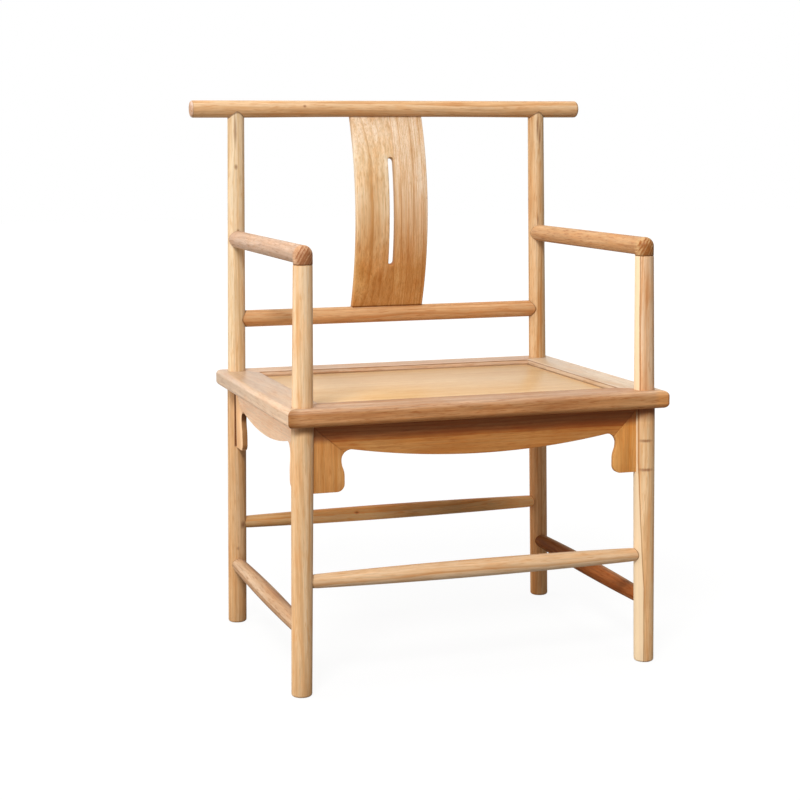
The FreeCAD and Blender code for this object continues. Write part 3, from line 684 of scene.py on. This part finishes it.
def postSeam(posts, radius):
    # a dark line on a bar where it meets the posts, each given as (side, row)
    def finish(make, place, colour):
        share = 0.0
        for side, row in posts:
            away = make.vector("SUBTRACT", place, tuple(postCentre(side, row)(0.0)))
            lean = make.dot(away, (0.0, 0.0, side * stance["splay"]))
            upright = make.vector("ADD", away, make.add(
                "ShaderNodeCombineXYZ", {"X": lean}).outputs[0])
            reach = make.length(make.vector("MULTIPLY", upright, (1.0, 1.0, 0.0)))
            share = make.math("MAXIMUM", share, seamShare(make, reach, radius, "post"))
        return make.mix(share, colour, seamColour)
    return finish


def crestEnds(make, place, colour):
    # a pale left end, and a fine dark line where each end begins to round off
    edge = barSizes["crestHalf"] - barSizes["crestEndLine"]
    along = make.part(place, "X")
    colour = make.tint(make.span(along, -edge, -edge - 0.001), colour, (0.98, 1.12, 1.68))
    away = make.apart(make.math("ABSOLUTE", along), edge)
    return make.mix(seamShare(make, away, 0.0, "crestEnd"), colour, seamColour)


def makeCrest():
    half, radius = barSizes["crestHalf"], barSizes["crestRadius"]

    def slim(distance):
        # slimmer in the middle, where the underside rises and the top stays level
        share = distance / half / barSizes["waistShare"]
        return barSizes["crestWaist"] * max(1 - share ** 2, 0.0)
    ends = [(distance - half, size)
            for distance, size in quarterRound(radius, barSizes["crestEase"], 6)]
    rings = ends + [(half * step / 12, radius - slim(half * step / 12))
                    for step in range(-11, 12)]
    rings += [(-distance, size) for distance, size in reversed(ends)]
    mesh = lathe("crestBar", rings, lambda distance: Vector((
        distance, stance["rowY"], stance["crestZ"] + slim(distance))),
        Vector((0, 1, 0)), Vector((1, 0, 0)))
    placePiece(mesh, "crest_rail", "crest_wood", makeWood(
        "crestWood", "crest_rail", "X", (0.0, stance["rowY"], stance["crestZ"]),
        {"pith": (0.03, 0.02), "start": 0.6, "finish": crestEnds}))


def makeBackRail():
    height = stance["backRailZ"]
    half = postCentre(1, 1)(height).x
    inner = half - barSizes["barInset"]
    reach = barSizes["backReach"] + barSizes["jointGap"]
    radius, ease = barSizes["backRadius"], barSizes["endEase"]
    rings = [(-half, radius - ease), (-half, radius)]
    rings += [(inner * step / 4, radius) for step in range(-4, 5)]
    rings += [(half, radius), (half, radius - ease)]
    mesh = lathe("backRailBar", rings,
                 lambda distance: Vector((distance, stance["rowY"], height)),
                 Vector((0, 1, 0)), Vector((1, 0, 0)),
                 {0: scribe(-1, 1, "X", reach), 1: scribe(-1, 1, "X", reach + ease),
                  -2: scribe(1, 1, "X", reach + ease), -1: scribe(1, 1, "X", reach)})
    placePiece(mesh, "back_rail", "crest_wood", makeWood(
        "backRailWood", "back_rail", "X", (0.0, stance["rowY"], height),
        {"pith": (0.024, -0.03), "start": 4.2,
         "finish": postSeam(((-1, 1), (1, 1)), reach)}))


def elbowSeam(make, place, colour):
    # the joint under the elbow shows as a fine dark line
    foot = stance["armZ"] - postSizes["elbowRadius"]
    return make.mix(seamShare(make, make.part(place, "Z"), foot, "elbow"), colour, seamColour)


elbowTints = {-1: (1.0, 0.84, 0.66), 1: (1.03, 1.15, 1.20)}


def makeArms():
    height, rear = stance["armZ"], stance["rowY"]
    reach = barSizes["armReach"] + barSizes["jointGap"]
    radius, ease = barSizes["armRadius"], barSizes["endEase"]
    rings = [(-rear + rear * 1.9 * step / 8, radius) for step in range(9)]
    rings += [(rear, radius), (rear, radius - ease)]
    turn, soft = postSizes["elbowRadius"], postSizes["jointEase"]
    dome = [(-turn, turn - soft), (soft - turn, turn), (-turn * 0.5, turn)]
    dome += [(turn * math.sin(math.pi / 2 * step / 12),
              turn * math.cos(math.pi / 2 * step / 12)) for step in range(12)]
    for side, word in sides:
        x = postCentre(side, 1)(height).x
        bar = newObject("armBar", lathe(
            "armBar", rings, lambda distance: Vector((x, distance, height)),
            Vector((1, 0, 0)), Vector((0, 1, 0)),
            {-2: scribe(side, 1, "Y", reach + ease), -1: scribe(side, 1, "Y", reach)}))
        cap = newObject("armElbow", lathe(
            "armElbow", dome, lambda distance: Vector((x, -rear, height + distance)),
            Vector((1, 0, 0)), Vector((0, 0, 1))))
        join = cap.modifiers.new("join", "BOOLEAN")
        join.operation = "UNION"
        join.solver = "EXACT"
        join.object = bar
        mesh = freeze(cap)
        bpy.data.objects.remove(bar)
        tint = onSides("Y", 0.004 - rear, evenTint(elbowTints[side]), plain)
        placePiece(mesh, f"arm_{word}", "arm_wood", makeWood(
            f"armWood_{word}", f"arm_{word}", "Y", (x, 0.0, height),
            {"pith": (-0.07, -0.045), "start": 0.4 + side, "ringGap": 0.0042,
             "ringTone": 0.25, "endRings": 1.9, "endShade": 0.40, "darkPower": 1.9,
             "finish": layered(elbowSeam, postSeam(((side, 1),), reach), tint)}),
            smoothAngle=50.0)


# stretchers
stretcherSizes = {
    # height, radii of tip and belly, grain, post at each end as (side, row), their radii
    "front": (0.172, 0.0100, 0.0136, "X", ((-1, -1), (1, -1)), (0.0155, 0.0155)),
    "rear": (0.172, 0.0100, 0.0128, "X", ((-1, 1), (1, 1)), (0.0155, 0.0155)),
    "left": (0.101, 0.01125, 0.0141, "Y", ((-1, -1), (-1, 1)), (0.0157, 0.0155)),
    "right": (0.101, 0.01125, 0.0141, "Y", ((1, -1), (1, 1)), (0.0157, 0.0155)),
}
barrelDetail = {"Rings": 25, "Segments": 48}
rearShades = [   # the rear stretcher's light and dark stretches, partly its own streaks and partly painted light and shade: (x, share)
    (-0.24, 0.66), (-0.19, 0.72), (-0.13, 1.35), (-0.05, 1.45), (0.03, 0.92), (0.12, 0.76),
    (0.18, 0.88), (0.24, 1.3),
]


def barrelTree():
    # a bar that swells from its tips to its middle, drawn between two points
    tree = bpy.data.node_groups.new("barrelBar", "GeometryNodeTree")
    face = tree.interface
    face.new_socket("Geometry", in_out="INPUT", socket_type="NodeSocketGeometry")
    for name, kind in (("Start", "Vector"), ("End", "Vector"), ("Tip Radius", "Float"),
                       ("Belly Radius", "Float"), ("Rings", "Int"), ("Segments", "Int"),
                       ("Wood", "Material")):
        face.new_socket(name, in_out="INPUT", socket_type="NodeSocket" + kind)
    face.new_socket("Geometry", in_out="OUTPUT", socket_type="NodeSocketGeometry")
    make = Nodes(tree)
    given = make.add("NodeGroupInput").outputs
    line = make.add("GeometryNodeCurvePrimitiveLine", {"Start": given["Start"],
                    "End": given["End"]})
    points = make.add("GeometryNodeResampleCurve", {"Curve": line.outputs[0],
                      "Count": given["Rings"]})
    factor = make.add("GeometryNodeSplineParameter").outputs["Factor"]
    swing = make.minus(make.times(factor, 2.0), 1.0)
    radius = make.add("ShaderNodeMapRange", {"Value": make.times(swing, swing),
                      "To Min": given["Belly Radius"], "To Max": given["Tip Radius"]})
    circle = make.add("GeometryNodeCurvePrimitiveCircle", {"Resolution": given["Segments"],
                      "Radius": 1.0})
    skin = make.add("GeometryNodeCurveToMesh", {
        "Curve": points.outputs[0], "Profile Curve": circle.outputs[0],
        "Scale": radius.outputs[0], "Fill Caps": True})
    real = make.add("GeometryNodeRealizeInstances", {0: skin.outputs[0]})
    dressed = make.add("GeometryNodeSetMaterial", {"Geometry": real.outputs[0],
                       "Material": given["Wood"]})
    out = make.add("NodeGroupOutput")
    tree.links.new(dressed.outputs[0], out.inputs[0])
    return tree


def growBarrel(tree, name, values, trims):
    holder = newObject(name, bpy.data.meshes.new(name))
    grow = holder.modifiers.new("grow", "NODES")
    grow.node_group = tree
    sockets = {item.name: item.identifier for item in tree.interface.items_tree
               if item.in_out == "INPUT"}
    for key, value in {**values, **barrelDetail}.items():
        grow[sockets[key]] = value
    holder.update_tag()
    mesh = freeze(holder)
    near = max(values["Tip Radius"], values["Belly Radius"]) * 1.2
    for vertex in mesh.vertices:
        for point, trim in zip((values["Start"], values["End"]), trims):
            if (vertex.co - Vector(point)).length < near:
                vertex.co = trim(vertex.co)
    return mesh


# light and dark stretches along the rear stretcher, partly streaks and partly painted light and
# shade
def rearStreaksAndLight(make, place, colour):
    along = make.plus(make.part(place, "X"), 0.5)
    ramp = make.ramp(along, [(x + 0.5, (share / 2,) * 3) for x, share in rearShades])
    return make.tinted(make.tinted(colour, ramp), (2.0, 2.0, 2.0))


def innerFade(make, place, colour):
    # the right stretcher's inner side is in the dark, most of all towards the rear
    return make.mix(make.span(make.part(place, "Y"), -0.10, 0.16),
                    make.tinted(colour, (0.60, 0.32, 0.17)),
                    make.tinted(colour, (0.36, 0.21, 0.10)))


stretcherWoods = {
    "front": {"pith": (0.03, -0.012), "start": 2.0,
              "finish": postSeam(((-1, -1), (1, -1)), 0.0155 + barSizes["jointGap"])},
    # painted light: the rear stretcher's front half carries the lifted bands, its back half a
    # plain darker tint
    "rear": {"pith": (0.03, 0.012), "start": 4.0,
             "finish": onSides("Y", stance["rowY"], rearStreaksAndLight, evenTint((0.68, 0.74, 0.86)))},
    "left": {"pith": (0.02, -0.02), "start": 4.0,
             "finish": postSeam(((-1, -1), (-1, 1)), 0.0156 + barSizes["jointGap"])},
    "right": {"pith": (0.02, 0.02), "start": 6.0, "gloss": 0.04, "dash": 0.9, "fibre": 0.7,
              "finish": onSides("X", postCentre(1, 1)(stretcherSizes["right"][0]).x, innerFade,
                                plain)},
}


def makeStretchers():
    tree = barrelTree()
    for word, (height, tip, belly, axis, posts, radii) in stretcherSizes.items():
        nodeName = f"stretcher_{word}"
        start, end = (postCentre(*post)(height) for post in posts)
        wood = makeWood(f"stretcherWood_{word}", nodeName, axis,
                        tuple((start + end) / 2), stretcherWoods[word])
        mesh = growBarrel(tree, nodeName, {"Start": start, "End": end, "Tip Radius": tip,
                                           "Belly Radius": belly, "Wood": wood},
                          [scribe(*post, axis, radius + barSizes["jointGap"])
                           for post, radius in zip(posts, radii)])
        placePiece(mesh, nodeName, "stretcher_wood", wood)


# splat
splatSizes = {
    "centreX": -0.008, "width": 0.125, "thickness": 0.012, "low": 0.533, "high": 0.851,
    "bow": 0.033, "tuck": 0.004, "slotWidth": 0.010, "slotLength": 0.1755, "slotRise": 0.00225,
    "ease": 0.0014, "slotSteps": 12, "rows": 72,
}


def flatSplat():
    # the splat as a flat plate lying in x and z, with its slot, before it is bowed
    size = splatSizes
    half, slot = size["width"] / 2, size["slotWidth"] / 2
    straight = size["slotLength"] / 2 - slot
    reach = (size["high"] - size["low"]) / 2 + size["tuck"]
    ring = []
    for turn, side in ((0.0, 1), (math.pi, -1)):
        for step in range(size["slotSteps"] + 1):
            angle = turn + math.pi * step / size["slotSteps"]
            ring.append((slot * math.cos(angle),
                         size["slotRise"] + straight * side + slot * math.sin(angle)))
    build = bmesh.new()
    outer = [build.verts.new((x, 0.0, z)) for x, z in
             ((-half, -reach), (half, -reach), (half, reach), (-half, reach))]
    inner = [build.verts.new((x, 0.0, z)) for x, z in ring]
    edges = [build.edges.new((loop[number], loop[(number + 1) % len(loop)]))
             for loop in (outer, inner) for number in range(len(loop))]
    bmesh.ops.triangle_fill(build, use_beauty=True, edges=edges)
    inside = [face for face in build.faces
              if abs(face.calc_center_median().x) < slot * 0.9
              and all(vert in inner for vert in face.verts)]
    bmesh.ops.delete(build, geom=inside, context="FACES_ONLY")
    bmesh.ops.dissolve_limit(build, angle_limit=0.01, verts=build.verts, edges=build.edges)
    grown = bmesh.ops.extrude_face_region(build, geom=build.faces[:])
    moved = [item for item in grown["geom"] if isinstance(item, bmesh.types.BMVert)]
    bmesh.ops.translate(build, verts=build.verts, vec=(0.0, -size["thickness"] / 2, 0.0))
    bmesh.ops.translate(build, verts=moved, vec=(0.0, size["thickness"], 0.0))
    bmesh.ops.recalc_face_normals(build, faces=build.faces)
    sharp = [edge for edge in build.edges if len(edge.link_faces) == 2
             and edge.calc_face_angle() > math.radians(50)]
    bmesh.ops.bevel(build, geom=sharp, offset=size["ease"], segments=3, profile=0.5,
                    affect="EDGES", clamp_overlap=True)
    for row in range(1, size["rows"]):
        height = -reach + 2 * reach * row / size["rows"]
        bmesh.ops.bisect_plane(build, geom=build.verts[:] + build.edges[:] + build.faces[:],
                               plane_co=(0.0, 0.0, height), plane_no=(0.0, 0.0, 1.0))
    bmesh.ops.triangulate(build, faces=[face for face in build.faces if len(face.verts) > 4])
    return build


splatFigure = {
    # the left board is pale in the middle, and browner below a line that climbs to the right
    "lean": 1.0, "noise": (0.25, 70.0, 3.0), "wave": 0.05,
    "line": (0.665, 0.640), "foot": (0.585, 0.612), "colour": (0.92, 0.79, 0.64),
    "paleFoot": (0.60, 0.66), "paleTop": (0.83, 0.78), "pale": (1.05, 1.07, 1.02),
    "veinNoise": (0.006, 420.0, 2.0), "veinSpan": (0.53, 0.62), "vein": (0.84, 0.70, 0.54),
    "seam": 0.0022, "shadow": (0.30, 0.18, 0.10),
}
# painted light and shade: the splat grows paler and bluer towards its top and browner towards
# its foot
splatLightRise = tintRise(0.59, 0.735, (0.90, 0.69, 0.44), (1.20, 1.33, 1.67), 0.08)
splatBoards = {"joint": 0.005, "jointScale": (3.6, 2.0, 1.0), "jointShift": (0.16, 0.0, 1.7)}


# the splat's own figure and veins, and a painted shadow at its joints with the rails
def splatFigureAndShadow(make, place, colour):
    size, figure = splatSizes, splatFigure
    x, height = make.part(place, "X"), make.part(place, "Z")
    joint = splatBoards["joint"] + size["centreX"]
    onLeft = make.math("LESS_THAN", x, joint)
    rough = make.noise(place, *figure["noise"])["Fac"]
    level = make.plus(make.minus(height, make.times(make.minus(x, joint), figure["lean"])),
                      make.sway(rough, figure["wave"]))
    for edge, limit, tint in (("line", "foot", "colour"), ("paleFoot", "paleTop", "pale")):
        share = make.times(make.span(level, *figure[edge]), make.span(height, *figure[limit]))
        colour = make.tint(make.times(share, onLeft), colour, figure[tint])
    # straight dark veins on the right board
    veins = make.span(make.noise(place, *figure["veinNoise"], depth=0.0)["Fac"],
                      *figure["veinSpan"])
    vein = make.times(veins, make.math("GREATER_THAN", x, joint))
    colour = make.tint(vein, colour, figure["vein"])
    # the two joints with the rails hold a shadow
    top = make.span(height, size["high"] - 0.0002, size["high"] + 0.0008)
    foot = make.span(height, size["low"] + figure["seam"], size["low"] + 0.0006)
    return make.tint(make.times(make.math("MAXIMUM", top, foot), 0.8), colour,
                     figure["shadow"])


def makeSplat():
    size = splatSizes
    rise = (size["high"] - size["low"]) / 2
    middle = size["low"] + rise
    radius = (rise ** 2 + size["bow"] ** 2) / (2 * size["bow"])
    axis = stance["rowY"] - size["bow"] + radius
    stretch = radius * math.asin(rise / radius) / rise   # arc length for each length of rise
    build = flatSplat()
    for vert in build.verts:
        angle = vert.co.z * stretch / radius
        out = radius - vert.co.y
        vert.co = (vert.co.x + size["centreX"], axis - out * math.cos(angle),
                   middle + out * math.sin(angle))
    mesh = bpy.data.meshes.new("splatBoard")
    build.to_mesh(mesh)
    build.free()
    placePiece(mesh, "splat", "splat_wood", makeWood(
        "splatWood", "splat", "Z", (size["centreX"], stance["rowY"], middle),
        {"pith": (0.11, 0.05), "ringGap": 0.011, "ringDepth": 0.40, "lateStart": 0.3,
         "drift": 0.7, "streak": 1.2, "finish": layered(splatLightRise, splatFigureAndShadow),
         **splatBoards}))


# seat, aprons, spandrels and battens
seatInner = {
    # the rails' inner faces, the painted shade lines along their foot and their top edge, and
    # painted shade along the panel's border
    "x": 0.241, "y": 0.185, "foot": (0.4262, 0.4248, 0.0, 0.6),
    "edge": (0.4300, 0.4312, 0.0, 0.8), "panelEdge": (-0.004, 0.0, 0.0, 0.35),
    "colour": (0.36, 0.21, 0.11),
}
frontRailShades = (
    # the front rail's light and dark stretches: x where each begins and is full, tint; mostly
    # its own tone, with painted light on the lighter stretch by the right end
    (0.12, 0.25, (1.10, 1.06, 0.98)), (0.10, -0.10, (0.95, 0.92, 0.88)),
    (0.276, 0.286, (1.20, 1.12, 0.94)), (0.2975, 0.3005, (0.55, 0.42, 0.36)),
    (-0.280, -0.296, (0.78, 0.68, 0.54)),
)


def insideEdge(make, place):
    # how far a point lies outside the rectangle of the rails' inner faces
    far = make.vector("ABSOLUTE", place)
    return make.math("MAXIMUM", make.minus(make.part(far, "X"), seatInner["x"]),
                     make.minus(make.part(far, "Y"), seatInner["y"]))


# painted shade: dark lines along the foot and the top edge of the rails' inner faces
def railShadeLines(make, place, colour):
    height = make.part(place, "Z")
    onWall = make.span(insideEdge(make, place), 0.0008, 0.0004)
    lines = make.math("MAXIMUM", make.span(height, *seatInner["foot"]),
                      make.span(height, *seatInner["edge"]))
    return make.tint(make.times(lines, onWall), colour, seatInner["colour"])


def frontRailBandsAndLight(make, place, colour):
    along = make.part(place, "X")
    for first, last, tint in frontRailShades:
        colour = make.tint(make.span(along, first, last), colour, tint)
    return colour


# painted shade along the seat panel's border, by the rails
def panelEdgeShade(make, place, colour):
    near = make.span(insideEdge(make, place), *seatInner["panelEdge"])
    return make.tint(near, colour, seatInner["colour"])


# painted shade along the front rail's lower edge, which browns it, and a painted reflection
# along its top, paler and bluer; then its light and dark stretches
frontRailToneAndLight = layered(
    railShadeLines, tintRise(0.404, 0.414, (0.90, 0.72, 0.44), (1.0, 0.95, 0.84)),
    tintRise(0.4235, 0.4305, plainTint, (1.0, 1.22, 1.74)), frontRailBandsAndLight)
# painted light: the left rail's lower round is lightened against the shade under it, over the
# rails' painted shade lines
leftRailShadeAndLight = layered(railShadeLines, tintRise(0.406, 0.416, (1.45, 1.42, 1.40), plainTint))
rightRailToneAndShade = layered(railShadeLines, onSides("X", 0.296, plain, evenTint((1.08, 0.88, 0.70))))
# the seat's front rail keeps the upper part of the front apron in the dark
railShade = tintRise(0.376, 0.384, plainTint, (0.62, 0.52, 0.60), 0.004)
# painted shade: the side front spandrels keep their shaded tone near the rail, and are lifted
# paler below it
sideShade = tintRise(0.372, 0.380, (1.06, 1.38, 1.60), plainTint, 0.004)
boardSizes = {
    # node: (eased edge in metres, slot, tone, grain, centre, changes)
    "seat_rail_front": (0.0004, "seat_front_wood", "seat_rail_front", "X", (0.0, -0.215, 0.42),
                        {"pith": (0.05, 0.16), "ringDepth": 0.18, "drift": 0.5, "fibre": 0.5,
                         "dash": 0.7, "pores": 0.6, "finish": frontRailToneAndLight}),
    "seat_rail_rear": (0.0004, "seat_side_wood", "seat_rail_rear", "X", (0.0, 0.215, 0.42),
                       {"pith": (-0.06, 0.05), "finish": railShadeLines,
                        "rough": (0.34, 0.46), "gloss": 0.5}),
    "seat_rail_left": (0.0004, "seat_side_wood", "seat_rail_left", "Y", (-0.27, 0.0, 0.42),
                       {"pith": (0.05, 0.16), "ringDepth": 0.2, "streak": 0.5,
                        "finish": leftRailShadeAndLight, "rough": (0.30, 0.40), "gloss": 0.6}),
    "seat_rail_right": (0.0004, "seat_side_wood", "seat_rail_right", "Y", (0.27, 0.0, 0.42),
                        {"pith": (-0.05, 0.15), "ringDepth": 0.2, "streak": 0.6,
                         "finish": rightRailToneAndShade, "rough": (0.30, 0.40), "gloss": 0.6}),
    "seat_panel": (0.0006, "panel_wood", "seat_panel", "X", (0.0, 0.0, 0.418),
                   {"pith": (0.12, 0.05), "ringGap": 0.012, "ringDepth": 0.25,
                    "ringTone": 0.2, "streak": 0.6, "fibre": 0.16, "drift": 0.25,
                    "rough": (0.30, 0.40), "gloss": 0.5, "blush": 0.2, "finish": panelEdgeShade}),
    "apron_front": (0.0008, "apron_wood", "apron_front", "X", (0.0, -0.2155, 0.37),
                    {"pith": (0.16, 0.03), "ringDepth": 0.34, "streak": 0.8, "dash": 0.35,
                     "finish": railShade}),
    "apron_left": (0.0008, "apron_wood", "apron_left", "Y", (-0.273, 0.0, 0.37),
                   {"pith": (0.16, 0.03), "ringDepth": 0.15, "streak": 0.5}),
    "apron_right": (0.0008, "apron_wood", "apron_right", "Y", (0.273, 0.0, 0.37),
                    {"pith": (-0.06, 0.05)}),
    "apron_rear": (0.0008, "hidden_wood", "apron_rear", "X", (0.0, 0.2155, 0.39),
                   {"pith": (0.07, -0.05)}),
    "seat_batten_left": (0.0008, "hidden_wood", "seat_batten", "Y", (-0.105, 0.0, 0.40),
                         {"pith": (0.05, 0.05)}),
    "seat_batten_right": (0.0008, "hidden_wood", "seat_batten", "Y", (0.105, 0.0, 0.40),
                          {"pith": (-0.05, 0.05)}),
}
spandrelSizes = {
    "ease": 0.0008, "frontY": -0.2155, "sideX": 0.2732, "sideY": 0.19, "reach": 0.24,
    "middle": 0.355, "edge": (0.40, 0.31, 0.21), "hollow": (0.40, 0.28, 0.20),
}


def edgeShade(make, place, colour):
    # the edges that face the front are darker, partly their own cut-edge tone and partly painted
    # shade, and darkest at the top of the cove, where a painted shadow falls
    facing = make.part(make.add("ShaderNodeNewGeometry").outputs["Normal"], "Y")
    colour = make.tint(make.span(facing, -0.45, -0.75), colour, spandrelSizes["edge"])
    share = make.times(make.span(facing, -0.2, -0.5),
                       make.span(make.part(place, "Z"), 0.350, 0.357))
    return make.tint(share, colour, spandrelSizes["hollow"])


def makeBoards():
    for nodeName, (ease, slot, tone, grain, centre, changes) in boardSizes.items():
        placePiece(dressBoard(nodeName, ease), nodeName, slot,
                   makeWood(nodeName + "_wood", tone, grain, centre, changes))
    size = spandrelSizes
    for side, word in sides:
        for nodeName, tone, x, y, finish in (
                (f"spandrel_front_{word}", f"spandrel_front_{word}", size["reach"],
                 size["frontY"], railShade),
                (f"spandrel_{word}_front", "spandrel_side_front", size["sideX"],
                 -size["sideY"], sideShade),
                (f"spandrel_{word}_rear", "spandrel", size["sideX"], size["sideY"],
                 edgeShade)):
            wood = makeWood(nodeName + "_wood", tone, "Z", (side * x, y, size["middle"]),
                            {"pith": (0.09, 0.16 * side), "start": y * 9, "ringDepth": 0.2,
                             "streak": 0.6, "dash": 0.3, "finish": finish})
            placePiece(dressBoard(nodeName, size["ease"]), nodeName, "apron_wood", wood)


makePosts()
print("posts turned")
makeCrest()
makeBackRail()
makeArms()
print("crest rail, back rail and arms made")
makeStretchers()
print("stretchers grown")
makeSplat()
makeBoards()
print("seat, splat, aprons and spandrels dressed")
